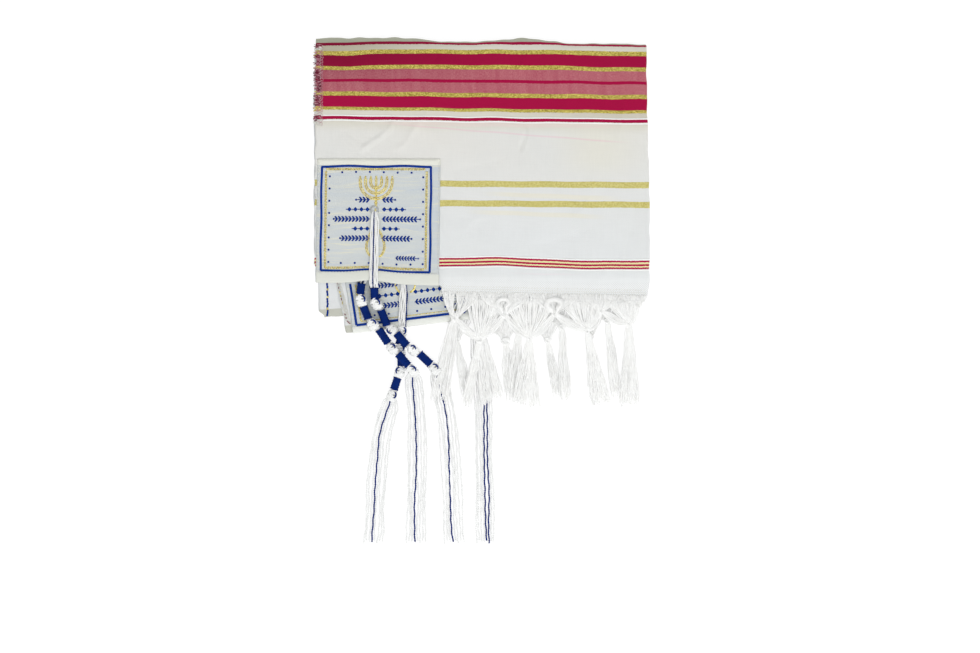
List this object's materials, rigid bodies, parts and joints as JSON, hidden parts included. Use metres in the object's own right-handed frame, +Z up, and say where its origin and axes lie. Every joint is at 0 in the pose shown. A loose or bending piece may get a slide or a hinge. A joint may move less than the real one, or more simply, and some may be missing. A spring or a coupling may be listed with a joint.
{
  "type": "folded tallit prayer shawl",
  "caption": "Folded tallit prayer shawl lying flat, with striped woven cloth, corner patches, knotted corner tassels and a knotted white fringe.",
  "frame": {"origin": "middle of the footprint of the folded shawl and its tassels, on the table", "axes": "+Z up from the table, +Y from the tassels' ends towards the folded back edge, +X towards the lengthwise fold"},
  "size_m": [0.2801, 0.4223, 0.0194],
  "materials": {
    "white_cloth": "plain woven wool blend, matt, with woven stripes and gold thread",
    "patch_satin": "fine woven patch with a soft watered sheen, navy and gold thread",
    "tassel_cord": "twisted wool cord, white with a navy winding strand",
    "fringe_yarn": "soft twisted yarn, matt white",
    "eyelet_thread": "worked buttonhole stitch, slight sheen"
  },
  "bodies": {
    "root": {"folded_layers": "white_cloth", "upper_leaves": "white_cloth", "lower_leaves": "white_cloth", "corner_patch_1": "patch_satin", "corner_patch_3": "patch_satin", "eyelet_1": "eyelet_thread", "tzitzit_1": "tassel_cord", "tzitzit_2": "tassel_cord", "tzitzit_3": "tassel_cord", "tzitzit_4": "tassel_cord", "fringe_1": "fringe_yarn", "fringe_3": "fringe_yarn", "fringe_4": "fringe_yarn"}
  },
  "joints": []
}
